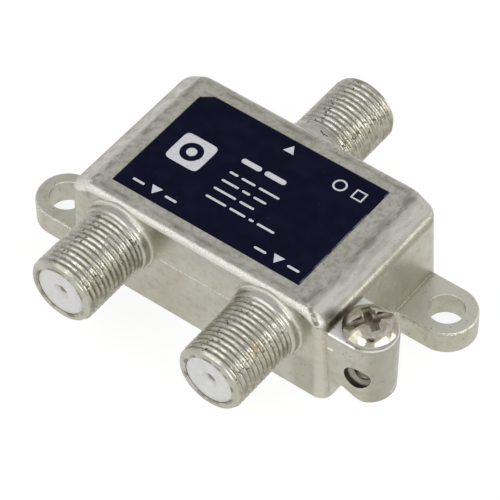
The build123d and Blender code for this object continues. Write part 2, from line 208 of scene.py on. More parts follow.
# Generic print: arrows by their X, tip and base, and the bars on both sides of the outputs' arrows
ARROWS = ((0.0, 8.5, 7.2), (-9.3, -8.3, -7.0), (9.4, -8.3, -7.0))
ARROW_HALF_WIDTH = 0.8
SIDE_BAR_STARTS = (-3.4, 1.6)
SIDE_BAR_LENGTH = 1.8
SIDE_BAR_Y = -7.65
SIDE_BAR_HEIGHT = 0.36

# Rows of bars: their Y, the bars' height and each bar's length
ROWS = (
    (2.8, 0.8, (3.0, 3.2)),
    (0.3, 0.34, (1.3, 2.1, 3.1)),
    (-1.3, 0.34, (2.6, 1.2, 1.9)),
    (-2.9, 0.34, (3.4, 2.2)),
    (-4.5, 0.34, (3.1, 2.4, 0.7, 2.6)),
)
ROW_START = -3.8
ROW_GAP = 0.55

# Patch with a socket's sign, ring and small square: X, Y, then the outer and inner radius
PATCH = (-9.6, 0.1, 2.5, 1.55)
PATCH_DOT = 0.7
PATCH_DOT_POINTS = 32
RING = (8.4, 6.6, 0.95, 0.7)
SQUARE = (11.3, 6.6, 1.15, 0.85)

# The photograph's camera, fitted to the object's edges: degrees, and millimetres from the origin
VIEW_AZIMUTH = 37.933
VIEW_ELEVATION = 48.97
VIEW_ROLL = -0.807
VIEW_DISTANCE = 397.517
VIEW_OFFSET = (-0.503, 2.441)
FOCAL_PIXELS = 3147.884
IMAGE_PIXELS = 500
SENSOR_WIDTH = 36.0
CLIP_START = 0.01
CLIP_END = 10

# Floor and room: metres, and strengths as seen directly and as light
FLOOR_SIZE = 3.0
FLOOR_DROP = 0.00002
FLOOR_GREY = 0.82
FLOOR_GLOW = 1.12
FLOOR_GLOW_SHARE = 0.78
ROOM_LIGHT = 0.6
ROOM_SEEN = 0.78

# Flag and softboxes: degrees and metres, and a softbox's radiance, where 1 is a white surface at full light
FLAG_SIZE = (0.20, 0.09)
FLAG_GREY = 0.01
FLAG_DISTANCE = 0.46
SOFTBOXES = (
    ("softbox_left", 3, 41, 0.6, 0.22, 0.17, 4.4),
    ("softbox_right", 80, 31, 0.6, 0.46, 0.20, 4.6),
    ("softbox_rim", -30, 38, 0.7, 0.30, 0.52, 1.4),
    ("softbox_back", 120, 12, 0.7, 0.28, 0.24, 3.0),
)


def linear(red, green, blue):
    """A colour written as 0-255 display values, in the linear values that shaders use."""

    def channel(value):
        value /= 255
        return value / 12.92 if value <= 0.04045 else ((value + 0.055) / 1.055) ** 2.4

    return (channel(red), channel(green), channel(blue), 1.0)


class Shader:
    """A material whose node tree is written as short expressions, in millimetres.

    A mask is a value from nothing to one.
    """

    def __init__(self, name):
        self.material = bpy.data.materials.new(name)
        self.material.use_nodes = True
        self.tree = self.material.node_tree
        self.surface = self.tree.nodes["Principled BSDF"]
        coordinates = self.tree.nodes.new("ShaderNodeTexCoord")
        self.generated = coordinates.outputs["Generated"]
        self.facing = coordinates.outputs["Normal"]
        metres = coordinates.outputs["Object"]
        self.place = self.add("VectorMath", metres, None, None, 1 / MM, operation="SCALE")
        self.x, self.y, self.z = self.split(self.place)

    def add(self, kind, *values, output=0, **settings):
        """Adds a node. Values fill its inputs in order, as plain values or as other nodes' outputs."""
        made = self.tree.nodes.new("ShaderNode" + kind)
        for key, value in settings.items():
            setattr(made, key, value)
        for socket, value in zip(made.inputs, values):
            self.fill(socket, value)
        return made.outputs[output]

    def fill(self, socket, value):
        """Links or sets an input, and leaves it as it is where the value is None."""
        if isinstance(value, bpy.types.NodeSocket):
            self.tree.links.new(value, socket)
        elif value is not None:
            socket.default_value = value

    def split(self, vector):
        """The three parts of a vector."""
        made = self.tree.nodes.new("ShaderNodeSeparateXYZ")
        self.tree.links.new(vector, made.inputs[0])
        return made.outputs

    def math(self, operation, *values):
        """One operation on one or two values."""
        return self.add("Math", *values, operation=operation)

    def chain(self, operation, values):
        """One operation on the first two values, then on that result and the next value, and so on."""
        result = values[0]
        for value in values[1:]:
            result = self.math(operation, result, value)
        return result

    def times(self, *values):
        """The product of several masks."""
        return self.chain("MULTIPLY", values)

    def most(self, *values):
        """The strongest of several masks."""
        return self.chain("MAXIMUM", values)

    def total(self, *values):
        """The sum of several values."""
        return self.chain("ADD", values)

    def less(self, value, other):
        """A value with another taken away from it."""
        return self.math("SUBTRACT", value, other)

    def apart(self, value, middle):
        """How far a value is from a middle, either way."""
        return self.math("ABSOLUTE", self.less(value, middle))

    def diagonal(self, aside, up):
        """The length of the line that goes so far aside and so far up."""
        return self.math("SQRT", self.total(self.times(aside, aside), self.times(up, up)))

    def step(self, value, low, high, start=0.0, end=1.0):
        """Runs smoothly from start to end as value goes from low to high."""
        return self.add("MapRange", value, low, high, start, end, interpolation_type="SMOOTHSTEP")

    def band(self, value, middle, inner, outer):
        """One within inner of the middle, and nothing beyond outer."""
        return self.step(self.apart(value, middle), inner, outer, 1.0, 0.0)

    def spot(self, middle, inner, outer):
        """One within inner of a point, and nothing beyond outer."""
        away = self.add("VectorMath", self.place, middle, operation="DISTANCE", output=1)
        return self.step(away, inner, outer, 1.0, 0.0)

    def streak(self, start, end, inner, outer):
        """One within inner of a straight line between two points, and nothing beyond outer."""
        run = Vector(end) - Vector(start)
        away = self.add("VectorMath", self.place, start, operation="SUBTRACT")
        per_run = tuple(run / run.length_squared)
        share = self.add("VectorMath", away, per_run, operation="DOT_PRODUCT", output=1)
        nearest = self.add("VectorMath", tuple(run), None, None, self.add("Clamp", share), operation="SCALE")
        off_line = self.add("VectorMath", away, nearest, operation="DISTANCE", output=1)
        return self.step(off_line, inner, outer, 1.0, 0.0)

    def noise(self, scale, detail=2.0, roughness=0.55, where=None):
        """Even noise about one half, at the place unless another is given."""
        return self.add("TexNoise", where or self.place, None, scale, detail, roughness)

    def cells(self, scale):
        """Distance to the nearest of many scattered points."""
        return self.add("TexVoronoi", self.place, None, scale)

    def stretched(self, x, y, z):
        """The place, scaled separately along each axis."""
        return self.add("VectorMath", self.place, (x, y, z), operation="MULTIPLY")

    def mix(self, factor, low, high):
        """Blends two colours, or two places."""
        blank = (None,) * 5
        return self.add("Mix", factor, *blank, low, high, data_type="RGBA", output=2)

    def bump(self, height, depth):
        """Relief of a height from nothing to one, with its full depth in millimetres."""
        made = self.tree.nodes.new("ShaderNodeBump")
        made.inputs["Distance"].default_value = depth * MM
        self.tree.links.new(height, made.inputs["Height"])
        return made.outputs[0]

    def around_port(self):
        """How far a point is beside and above its port's axis, and its distance from that axis."""
        output_x = self.step(self.y, -1.0, 1.0, PORTS["out_right"][0], 0.0)
        beside = self.less(self.x, self.math("MULTIPLY", self.math("SIGN", self.x), output_x))
        above = self.less(self.z, PORT_HEIGHT)
        return beside, above, self.diagonal(beside, above)

    def finish(self, **inputs):
        """Connects or fills the surface's inputs, whose names are written with underscores."""
        for key, value in inputs.items():
            self.fill(self.surface.inputs[key.replace("_", " ")], value)
        return self.material


class CastingShader(Shader):
    """Satin nickel over a zinc casting: mottled warm grey, with grainy edges, grime and small dark pits, and
    painted highlights, light and shade laid into its colour.

    Each lay_ method lays its tones over the colour so far, and keeps the masks that later methods need.
    """

    def __init__(self):
        super().__init__("plated_casting")
        self.across = self.math("ABSOLUTE", self.x)
        self.along = self.math("ABSOLUTE", self.y)
        self.beside, self.above, self.off_axis = self.around_port()
        self.clouds = self.noise(0.75, 3.0, 0.6)
        self.grain = self.noise(3.2, 4.0, 0.7)
        self.sand = self.noise(4.6, 3.0, 0.6)
        self.on_top = self.step(self.z, 12.9, 13.6)
        self.on_right = self.step(self.x, -1.0, 1.0)
        self.threaded = self.times(
            self.step(self.along, *ONTO_THREAD),
            self.step(self.along, *OFF_THREAD, 1.0, 0.0),
            self.step(self.off_axis, *PAST_BORE),
        )
        self.colour = self.plating()

    def lay(self, tone, *masks):
        """Covers the colour so far with a tone, as strongly as all the masks allow."""
        self.colour = self.mix(self.times(*masks), self.colour, linear(*TONES[tone]))

    def plating(self):
        """Clean plating, as two copies: warmer on the walls than on the top, a painted reflection tint."""
        wide = self.step(self.noise(0.17, 3.0), *EVEN)
        fine = self.step(self.noise(0.3, 3.0), *EVEN)
        # Walls and top are lit copies of one plating: the walls' warmer tint is painted reflection
        walls = self.mix(wide, linear(178, 174, 157), linear(187, 185, 172))
        top = self.mix(fine, linear(176, 174, 163), linear(186, 184, 177))
        return self.mix(self.step(self.z, 11.0, 14.5), walls, top)

    def lay_mottling(self):
        """Darker clouds and brighter grain."""
        self.lay("cloud", self.step(self.clouds, 0.47, 0.75, 0.0, 0.4))
        self.lay("grain", self.step(self.grain, 0.5, 0.8, 0.0, 0.4))

    def lay_streaks_and_shade(self):
        """Grey streaks along front and back rims and where the top meets the shoulders, painted shadow along
        the label's edge, and painted shade in smears on the flat top.
        """
        off_label = self.most(
            self.less(self.apart(self.x, LABEL_X), LABEL_HALF_WIDTH), self.less(self.along, LABEL_HALF_DEPTH)
        )
        # Painted shadow: a dark line along the label's edge
        label_edge_shadow = self.step(off_label, 0.05, 0.35, 0.6, 0.0)
        shoulder_line = self.band(self.across, TOP_EDGE, 0.0, 1.2)
        rim_line = self.band(self.along, RIM_LINE, 0.0, 0.7)
        rim_line = self.times(rim_line, self.step(self.across, TOP_EDGE, TOP_EDGE + 1.0, 1.0, 0.0))
        self.lines = self.times(self.most(shoulder_line, rim_line, label_edge_shadow), self.on_top)
        at_side = self.mix(self.on_right, self.stretched(1.1, 0.9, 1), self.stretched(1.3, 0.4, 1))
        drawn = self.mix(self.step(self.across, 15.0, 15.6), self.stretched(0.4, 1.3, 1), at_side)
        streaks = self.step(self.noise(1.0, 3.0, 0.55, drawn), *EVEN)
        # Painted shade: the flat top darkened in smears
        smears = self.step(self.noise(1.5, 3.0, 0.6), 0.42, 0.68)
        flat_top_shade = self.times(self.step(self.z, LABEL_TOP - 0.3, LABEL_TOP - 0.05), smears, 0.5)
        self.lay("streak", self.most(self.times(self.lines, streaks), flat_top_shade), 0.8)

    def lay_wear_and_highlights(self):
        """Painted highlights on the shoulders, the front rim and grainy worn edges where a surface turns from
        level to upright, off the barrels, then a grainy strip at the shoulders' feet.
        """
        # Painted highlight on the shoulders
        shoulder = self.times(
            self.step(self.across, 16.9, 17.5),
            self.step(self.z, 13.4, 13.8),
            self.step(self.along, 11.0, 10.4),
        )
        drawn = self.mix(self.on_right, self.stretched(1.3, 0.9, 1), self.stretched(1.6, 0.3, 1))
        self.lay("shoulder", shoulder, self.step(self.noise(0.9, 3.0, 0.6, drawn), 0.35, 0.62, 0.05, 0.6))

        level = self.math("ABSOLUTE", self.split(self.facing)[2])
        # Painted highlight along the front rim
        rim = self.times(self.band(level, 0.5, 0.35, 0.48), self.band(self.along, RIM_MIDDLE, 0.7, 1.1))
        rim = self.times(rim, self.on_top)
        # Painted highlight on worn edges that turn from level to upright
        turning = self.times(self.band(level, 0.5, 0.3, 0.44), self.step(self.along, *PAST_WALLS, 1.0, 0.0))
        below_top = self.step(self.z, *BLOCK_HEIGHT, 1.0, 0.0)
        turning = self.times(turning, self.most(below_top, self.step(self.across, *ONTO_BLOCK)))
        self.edge = self.most(self.times(rim, self.step(self.y, *BACK_FROM_FRONT, 1.0, 0.2)), turning)
        # Sparkle in the painted rim highlight, partly worn bare metal
        bare = self.step(self.sand, 0.36, 0.58, 0.4, 1.0)
        bare = self.times(bare, self.step(self.across, 18.0, 18.8, 1.0, 0.55))
        self.lay("rim", rim, bare, self.step(self.y, *BACK_FROM_FRONT, 1.0, 0.3))
        self.lay("edge", self.edge, self.step(self.sand, 0.4, 0.55), 0.8)

        self.foot = self.times(
            self.band(self.z, SHOULDER_FOOT, 0.3, 1.2),
            self.step(self.across, 18.7, 18.9),
            self.step(self.along, 11.6, 11.0),
        )
        self.lay("shoulder_foot", self.foot, self.step(self.sand, 0.35, 0.6, 0.2, 0.8))

    def lay_line_highlights(self):
        """Painted highlights: bright rims of the ear holes, the seam between the ports, and the block's front
        edge and dash.
        """
        off_hole = self.diagonal(self.less(self.across, EAR_HOLE[0]), self.less(self.along, EAR_HOLE[1]))
        in_hole = self.step(off_hole, EAR_HOLE_RADIUS + 0.01, EAR_HOLE_RADIUS + 0.03, 1.0, 0.0)
        # Painted highlight round the ear holes' rims
        self.lay("hole_rim_highlight", in_hole, self.band(self.z, EAR_TOP, 0.14, 0.26), self.step(self.sand, 0.35, 0.5))
        # Painted highlights along the seam and on the block's dash and front edge
        seam = self.times(self.streak(*SEAM_LINE), self.step(self.sand, 0.42, 0.55), 0.8)
        self.lay("seam_highlight", self.most(seam, self.streak(*BLOCK_DASH)))
        self.lay("block_edge_highlight", self.streak(*BLOCK_EDGE_GLINT), self.step(self.sand, 0.3, 0.45, 0.6, 1.0))

    def lay_right_side(self):
        """Painted light and shade at the right: shade on the block's far side and low on the front wall, a
        highlight down the front corner, light on the ear's top and on the block's top.
        """
        # Painted shade on the block's far side
        block_side_shade = self.times(self.step(self.x, 24.5, 26.0), self.step(self.y, -3.9, -4.3))
        self.lay("block_side_shade", block_side_shade, 0.6)
        # Painted light on the ear's top
        ear_top_light = self.times(self.step(self.x, 20.2, 20.6), self.step(self.y, 1.5, 2.5))
        self.lay("ear_top_light", ear_top_light, self.step(self.z, EAR_TOP - 0.3, EAR_TOP - 0.05), 0.6)
        in_front = self.step(self.y, *FRONT_WALL)
        # Painted highlight down the front right corner
        corner = self.times(self.step(self.x, 18.0, 18.8), self.step(self.across, 19.9, 20.1, 1.0, 0.0))
        self.lay("corner", corner, in_front, self.step(self.z, SHOULDER_FOOT + 0.2, SHOULDER_FOOT - 0.2), 0.3)
        # Painted shade low on the front wall
        low_wall_shade = self.times(self.step(self.x, 14.5, 16.0), self.step(self.x, 18.6, 18.0))
        self.lay("low_wall_shade", low_wall_shade, in_front, self.step(self.z, 8.0, 5.0), 0.35)
        # Painted light on the block's top, which is also made less metallic
        self.block_top_light = self.times(
            self.step(self.x, 19.7, 19.8),
            self.band(self.z, BLOCK_TOP, 0.04, 0.1),
            self.step(self.y, -11.0, -10.8),
        )
        self.lay("block_top_light", self.block_top_light, 0.9)

    def lay_dirt_and_shade(self):
        """Grime at the barrels' mouths, darkening at their roots and in their grooves, painted shade on their
        sides, a painted shadow of the screw above the block, and a stain.
        """
        # Darker round the roots' junction
        root = self.times(self.band(self.off_axis, 5.3, 0.0, 0.3), self.band(self.along, 12.15, 0.05, 0.3))
        root = self.times(root, self.step(self.clouds, 0.4, 0.6), 0.4)
        mouth = self.times(self.band(self.off_axis, 3.6, 0.05, 0.35), self.step(self.along, 23.4, 23.7))
        mouth = self.times(mouth, self.step(self.clouds, 0.45, 0.6))
        # Darker in the grooves
        groove = self.times(self.threaded, self.step(self.off_axis, *OUT_OF_GROOVE, 1.0, 0.0))
        groove = self.times(groove, self.step(self.clouds, 0.3, 0.65, 0.2, 0.9), 0.8)
        # Painted shade on the barrels' sides, for the floor they reflect
        side = self.times(self.threaded, self.band(self.above, -0.2, 0.6, 2.0))
        side = self.times(side, self.step(self.clouds, 0.35, 0.6, 0.3, 0.8))
        self.dirt_and_shade = self.most(root, mouth, groove, side)
        self.lay("dirt_and_shade", self.dirt_and_shade, 0.75)
        self.blotch = self.times(self.threaded, self.step(self.noise(1.9, 2.0, 0.6), 0.42, 0.6))
        self.lay("blotch", self.blotch, 0.32)
        # Painted shadow of the screw head on the wall above the block
        above_block = self.step(self.z, BLOCK_TOP + 0.05, BLOCK_TOP + 0.2)
        self.lay("screw_shade", self.spot(*SCREW_SHADE), above_block, self.step(self.clouds, 0.3, 0.6, 0.75, 0.95))
        self.lay("stain", self.spot(*STAIN), self.threaded, self.step(self.clouds, 0.35, 0.6), 0.6)

    def lay_pits(self):
        """Small dark pits, thicker on the streaks, ears and block and in rows on the barrels, and nicks."""
        in_rows = self.most(self.band(self.beside, -1.0, 0.3, 1.4), self.band(self.beside, 3.6, 0.1, 0.9))
        rows = self.times(self.threaded, in_rows, self.step(self.noise(2.3, 1.0), 0.58, 0.68), 0.85)
        scattered = self.step(self.noise(0.45, 1.0), 0.52, 0.7, 0.05, 0.6)
        thicker = self.times(self.most(self.foot, self.step(self.across, 20.2, 20.6)), 0.6)
        places = self.most(scattered, self.times(self.lines, 0.8), thicker)
        pit = self.step(self.cells(1.15), 0.07, 0.14, 1.0, 0.0)
        nick = self.most(*[self.streak(*part) for part in NICK])
        self.pits = self.most(self.times(pit, places), rows, nick)
        self.lay("pit", self.pits)
        self.lay("gouge", self.streak(*GOUGE), self.step(self.noise(1.7, 1.0), 0.35, 0.55, 0.5, 0.85))

    def lay_flares(self):
        """Flares at the barrels' roots, painted paler: painted light that lifts the shade in their hollow."""
        self.flare = self.times(
            self.band(self.along, 12.2, 0.2, 0.4),
            self.step(self.off_axis, 4.7, 4.9),
            self.step(self.off_axis, 5.5, 5.7, 1.0, 0.0),
        )
        # Painted light, paler in the flare's hollow
        self.lay("flare", self.flare, 0.5)

    def roughness(self):
        """Rougher at worn edges, the shoulders' feet, flares, and the grime and painted shade, and smoother
        on the threads.
        """
        base = self.step(self.clouds, 0.3, 0.7, 0.28, 0.38)
        dull = self.times(self.most(self.edge, self.foot, self.flare), 0.2)
        threads = self.times(self.threaded, 0.02)
        blotches = self.times(self.less(self.blotch, self.threaded), 0.07)
        return self.total(base, self.times(self.dirt_and_shade, 0.15), dull, threads, blotches)

    def height(self):
        """Relief: clouds and grain, sand that is coarser on the worn edges except the block's, and pits."""
        on_block = self.times(self.step(self.across, *ONTO_BLOCK), self.step(self.z, *BLOCK_HEIGHT))
        coarse = self.times(self.edge, self.step(on_block, 0.0, 1.0, 1.0, 0.1))
        coarse = self.most(coarse, self.times(self.threaded, 0.02))
        sand = self.times(self.sand, self.step(coarse, 0.0, 1.0, 0.3, 2.4))
        grained = self.total(self.times(self.grain, 0.5), self.times(self.clouds, 0.9), sand)
        return self.less(grained, self.pits)

    def finished(self):
        """The whole material. The wire hole's inside is bare, dull metal, dark at its mouth, then painted
        pale as if lit, and duller deeper in.
        """
        off_hole = self.diagonal(self.less(self.x, HOLE_PLACE[0]), self.less(self.z, HOLE_PLACE[1]))
        inside = self.step(off_hole, HOLE_RADIUS + 0.01, HOLE_RADIUS + 0.04, 1.0, 0.0)
        inside = self.times(inside, self.step(self.y, *HOLE_MOUTH))
        # Painted light: paler past the hole's mouth, as if lit inside
        deep = self.step(self.total(self.y, self.times(self.clouds, 0.5)), -10.3, -9.9)
        bare = self.mix(deep, linear(46, 41, 33), linear(216, 210, 194))
        bare = self.mix(self.step(self.y, -9.0, -6.5), bare, linear(150, 145, 130))
        metal = self.less(self.step(inside, 0.0, 1.0, 1.0, 0.2), self.times(self.block_top_light, 0.6))
        return self.finish(
            Base_Color=self.mix(inside, self.colour, bare),
            Metallic=metal,
            Roughness=self.roughness(),
            Normal=self.bump(self.height(), 0.05),
        )


def casting_material():
    """The casting's finish, laid from the bare plating upward."""
    s = CastingShader()
    s.lay_mottling()
    s.lay_streaks_and_shade()
    s.lay_wear_and_highlights()
    s.lay_line_highlights()
    s.lay_right_side()
    s.lay_dirt_and_shade()
    s.lay_pits()
    s.lay_flares()
    return s.finished()


def screw_material():
    """Polished nickel plating, pale in the recess with painted shade browning it towards the bottom, and
    darker and rougher on the shank.
    """
    s = Shader("screw_steel")
    off_axis = s.diagonal(s.less(s.x, SCREW_PLACE[0]), s.less(s.y, SCREW_PLACE[1]))
    in_recess = s.times(
        s.step(off_axis, 2.2, 3.0, 1.0, 0.0), s.step(s.z, 13.9, 14.3, 1.0, 0.0), s.step(s.z, 12.4, 12.6)
    )
    colour = s.mix(s.step(s.noise(0.9, 3.0), 0.4, 0.65), linear(184, 178, 165), linear(160, 153, 138))
    # Brown stains, and painted shade that browns the recess towards its bottom
    stain = s.most(s.step(s.noise(1.8, 3.0), 0.35, 0.6, 0.0, 0.6), s.step(s.z, 13.8, 13.3))
    colour = s.mix(in_recess, colour, s.mix(stain, linear(214, 208, 196), linear(142, 132, 115)))
    shank = s.step(s.z, 9.0, 11.0, 1.0, 0.0)
    colour = s.mix(s.times(shank, 0.8), colour, linear(120, 114, 102))
    rough = s.total(s.step(s.noise(2.5, 3.0), 0.35, 0.7, 0.13, 0.22), s.times(shank, 0.3))
    metal = s.step(in_recess, 0.0, 1.0, 1.0, 0.4)
    return s.finish(Base_Color=colour, Metallic=metal, Roughness=rough)


def label_material():
    """Dark blue film, satin, with a little dust and a paler, broken line along its right edge."""
    s = Shader("label_film")
    dust = s.times(s.step(s.cells(1.1), 0.05, 0.09, 1.0, 0.0), s.step(s.noise(0.4), 0.5, 0.62, 0.0, 0.5))
    colour = s.mix(s.step(s.noise(0.5, 3.0), *GENTLE), linear(12, 13, 33), linear(17, 18, 39))
    colour = s.mix(dust, colour, linear(70, 72, 92))
    right_end = LABEL_X + LABEL_HALF_WIDTH
    pale_right_edge = s.times(s.step(s.x, right_end - 0.16, right_end - 0.1), s.step(s.noise(0.4), 0.4, 0.6))
    colour = s.mix(pale_right_edge, colour, linear(104, 106, 116))
    rough = s.step(s.noise(0.8, 3.0), 0.3, 0.7, 0.5, 0.62)
    relief = s.bump(s.noise(4.0), 0.004)
    return s.finish(Base_Color=colour, Roughness=rough, Specular_IOR_Level=0.03, Normal=relief)


def ink_material():
    """Pale print on the label."""
    s = Shader("label_print")
    colour = s.mix(s.step(s.noise(5.0, 2.0), *GENTLE), linear(208, 208, 211), linear(190, 191, 198))
    return s.finish(Base_Color=colour, Roughness=0.5)


def insulator_material():
    """White plastic, slightly grey, with painted shade darkening its centre hole."""
    s = Shader("white_insulator")
    off_axis = s.around_port()[2]
    colour = s.mix(s.step(s.noise(0.7, 3.0), *GENTLE), linear(214, 214, 211), linear(205, 205, 202))
    # Painted shade, darker and browner round the centre hole
    colour = s.mix(s.step(off_axis, 0.4, 0.9, 0.5, 0.0), colour, linear(190, 180, 160))
    return s.finish(Base_Color=colour, Roughness=0.42, Subsurface_Weight=0.08, Subsurface_Scale=0.0008)


def plain_material(name, low, high, scale, rough, metal=0.0, relief=0.0, stretch=(1, 1, 1)):
    """A finish of two close colours, blended by noise that can be stretched into brush marks."""
    s = Shader(name)
    pattern = s.noise(scale, 3.0, 0.6, s.stretched(*stretch))
    colour = s.mix(s.step(pattern, 0.35, 0.68), linear(*low), linear(*high))
    inputs = {"Base_Color": colour, "Metallic": metal, "Roughness": rough}
    if relief:
        inputs["Normal"] = s.bump(pattern, relief)
    return s.finish(**inputs)


def chip_material(name, low, high):
    """A small ceramic chip with bright plated ends."""
    s = Shader(name)
    body = s.band(s.split(s.generated)[0], 0.5, 0.31, 0.33)
    speckle = s.mix(s.step(s.noise(6.0, 3.0), *GENTLE), linear(*low), linear(*high))
    colour = s.mix(body, linear(202, 201, 198), speckle)
    return s.finish(Base_Color=colour, Metallic=s.less(1.0, body), Roughness=0.4)


def board_material():
    """Green solder mask with lighter copper tracks under it."""
    s = Shader("board_laminate")
    track = s.step(s.add("TexBrick", s.place, None, None, None, 0.35, 0.12, output=1), 0.3, 0.6)
    weave = s.step(s.noise(5.0, 2.0), 0.4, 0.6)
    mask = s.mix(weave, linear(28, 84, 46), linear(34, 94, 52))
    return s.finish(Base_Color=s.mix(s.times(track, 0.7), mask, linear(62, 128, 70)), Roughness=0.35)


def new_piece(name, bm, material, body, smooth=True):
    """Turns a bmesh written in metres into a piece of the object that rides on a CAD body."""
    mesh = bpy.data.meshes.new(name)
    bm.to_mesh(mesh)
    bm.free()
    mesh.materials.append(material)
    if smooth:
        mesh.shade_smooth()
    else:
        mesh.shade_flat()
    piece = bpy.data.objects.new(name, mesh)
    bpy.context.scene.collection.objects.link(piece)
    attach(piece, body)
    return piece


def smoothed(value, low, high):
    """Zero at low and one at high, with a smooth run between them."""
    t = min(max((value - low) / (high - low), 0.0), 1.0)
    return t * t * (3 - 2 * t)


def turned(points):
    """Angles of points spread evenly round a circle."""
    return [TAU * i / points for i in range(points)]


def sleeve(bm, place, points, stations, radius_at):
    """A sleeve round an axis: place(angle, along, radius) gives each point in metres, at each station."""
    rings = []
    for along in stations:
        rings.append([bm.verts.new(place(angle, along, radius_at(angle, along))) for angle in turned(points)])
    faces = []
    for lower, upper in zip(rings, rings[1:]):
        for i in range(points):
            after = (i + 1) % points
            faces.append(bm.faces.new((lower[i], lower[after], upper[after], upper[i])))
    bmesh.ops.recalc_face_normals(bm, faces=faces)


def thread_profile(turn):
    """Depth of a rounded thread from nothing at its crest to one at its root."""
    return 0.5 - 0.5 * math.cos(TAU * turn)


def quarter_round(rise):
    """How far a quarter round has drawn in, from nothing where rise is nothing to one where rise is one."""
    return 1 - math.sqrt(max(1 - rise * rise, 0.0))


def smooth_radius(along):
    """Radius of a barrel without its thread: flared root, collar, barrel and rounded mouth."""
    root_end = ROOT_START + ROOT_FLARE
    if along < root_end:
        return COLLAR_RADIUS + ROOT_FLARE * quarter_round((root_end - along) / ROOT_FLARE)
    if along < BARREL_END:
        return COLLAR_RADIUS + (BARREL_RADIUS - COLLAR_RADIUS) * smoothed(along, COLLAR_END, BARREL_START)
    return BARREL_RADIUS - LIP_ROUND * quarter_round((along - BARREL_END) / LIP_ROUND)


def barrel_radius(port, angle, along):
    """Radius of a barrel's surface, with its thread, its flattened sides and small casting faults."""
    thread_start = BARREL_START + THREAD_NECK
    run_in = smoothed(along, thread_start, thread_start + THREAD_RUN_IN)
    run_out = smoothed(along, MOUTH, BARREL_END + THREAD_RUN_OUT)
    from_level = math.asin(abs(math.sin(angle)))
    formed = smoothed(from_level, *FLAT_SIDE)
    round_axis = Vector((math.cos(angle), math.sin(angle), 0)) * FAULT_ROUND
    where = round_axis + Vector((0, 0, along * FAULT_ALONG + FAULT_PORT * port))
    fault = noise.noise(where)
    rough = noise.noise(where * FAULT_FINE)
    depth = THREAD_DEPTH * (FAULT_DEPTH[0] + FAULT_DEPTH[1] * fault)
    depth *= FLAT_DEPTH + (1 - FLAT_DEPTH) * formed
    turn = (along - BARREL_START) / THREAD_PITCH - angle / TAU + FAULT_SHIFT * fault
    worn = FLAT_WEAR * (1 - formed) + THREAD_WEAR * (0.5 + rough)
    return smooth_radius(along) - (depth * thread_profile(turn) + worn) * run_in * run_out


def barrel_stations():
    """Places along a barrel where its mesh has a ring of points."""
    root = [math.pi / 2 * i / ROOT_RINGS for i in range(ROOT_RINGS + 1)]
    lip = [math.pi / 2 * i / LIP_RINGS for i in range(1, LIP_RINGS + 1)]
    rows = round((BARREL_END - BARREL_START) / THREAD_PITCH * THREAD_RINGS)
    stations = [ROOT_START + ROOT_FLARE * (1 - math.cos(angle)) for angle in root]
    stations += COLLAR_STATIONS
    stations += [BARREL_START + (BARREL_END - BARREL_START) * row / rows for row in range(rows + 1)]
    stations += [BARREL_END + LIP_ROUND * math.sin(angle) for angle in lip]
    return stations


def on_barrel(point, x, direction):
    """Whether a point in millimetres lies on the turned outside of a port, from its root to its mouth."""
    if not ROOT_START - NEAR_ALONG < point.y * direction < MOUTH + NEAR_ALONG:
        return False
    off_axis = math.hypot(point.x - x, point.z - PORT_HEIGHT)
    return BARREL_RADIUS - LIP_ROUND - NEAR_RADIUS < off_axis < COLLAR_RADIUS + ROOT_FLARE + NEAR_RADIUS


def on_shank(point):
    """Whether a point in millimetres lies on the plain outside of the screw's shank."""
    off_axis = math.hypot(point.x - SCREW_PLACE[0], point.y - SCREW_PLACE[1])
    return abs(off_axis - SHANK_RADIUS) < NEAR_RADIUS and point.z < SHANK_TOP + NEAR_ALONG


def without(node, replaced):
    """A copy of a CAD node's mesh without the faces that replaced(points in millimetres) accepts."""
    bm = bmesh.new()
    bm.from_mesh(node.data)
    plain = [face for face in bm.faces if replaced([vert.co / MM for vert in face.verts])]
    bmesh.ops.delete(bm, geom=plain, context="FACES")
    return bm


def casting(frame, material):
    """The housing with the outsides of its three barrels cut away and cast threads in their place."""
    bm = without(
        frame["nodes"]["housing"],
        lambda points: any(all(on_barrel(point, *port) for point in points) for port in PORTS.values()),
    )
    for port, (x, direction) in enumerate(PORTS.values()):

        def place(angle, along, radius, x=x, direction=direction):
            side = radius * math.cos(angle)
            up = -direction * radius * math.sin(angle)
            return Vector((x + side, direction * along, PORT_HEIGHT + up)) * MM

        def radius_at(angle, along, port=port):
            return barrel_radius(port, angle, along)

        sleeve(bm, place, BARREL_POINTS, barrel_stations(), radius_at)
    for start, end, radius in SEAMS:
        bead(bm, start, end, radius)
    piece = new_piece("casting", bm, material, "casing")
    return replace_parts(piece, "housing")


def bead(bm, start, end, radius):
    """A fine half-sunk bead of metal from one point to another, pointed at both ends, in millimetres."""
    first = Vector(start)
    run = Vector(end) - first
    side = run.orthogonal().normalized()
    other = run.cross(side).normalized()
    tips = (bm.verts.new(first * MM), bm.verts.new((first + run) * MM))
    rings = []
    for share in (BEAD_TIP, 1 - BEAD_TIP):
        middle = first + run * share
        spots = [side * math.cos(angle) + other * math.sin(angle) for angle in turned(BEAD_POINTS)]
        rings.append([bm.verts.new((middle + spot * radius) * MM) for spot in spots])
    for i in range(BEAD_POINTS):
        after = (i + 1) % BEAD_POINTS
        bm.faces.new((rings[0][i], rings[0][after], rings[1][after], rings[1][i]))
        bm.faces.new((tips[0], rings[0][after], rings[0][i]))
        bm.faces.new((tips[1], rings[1][i], rings[1][after]))


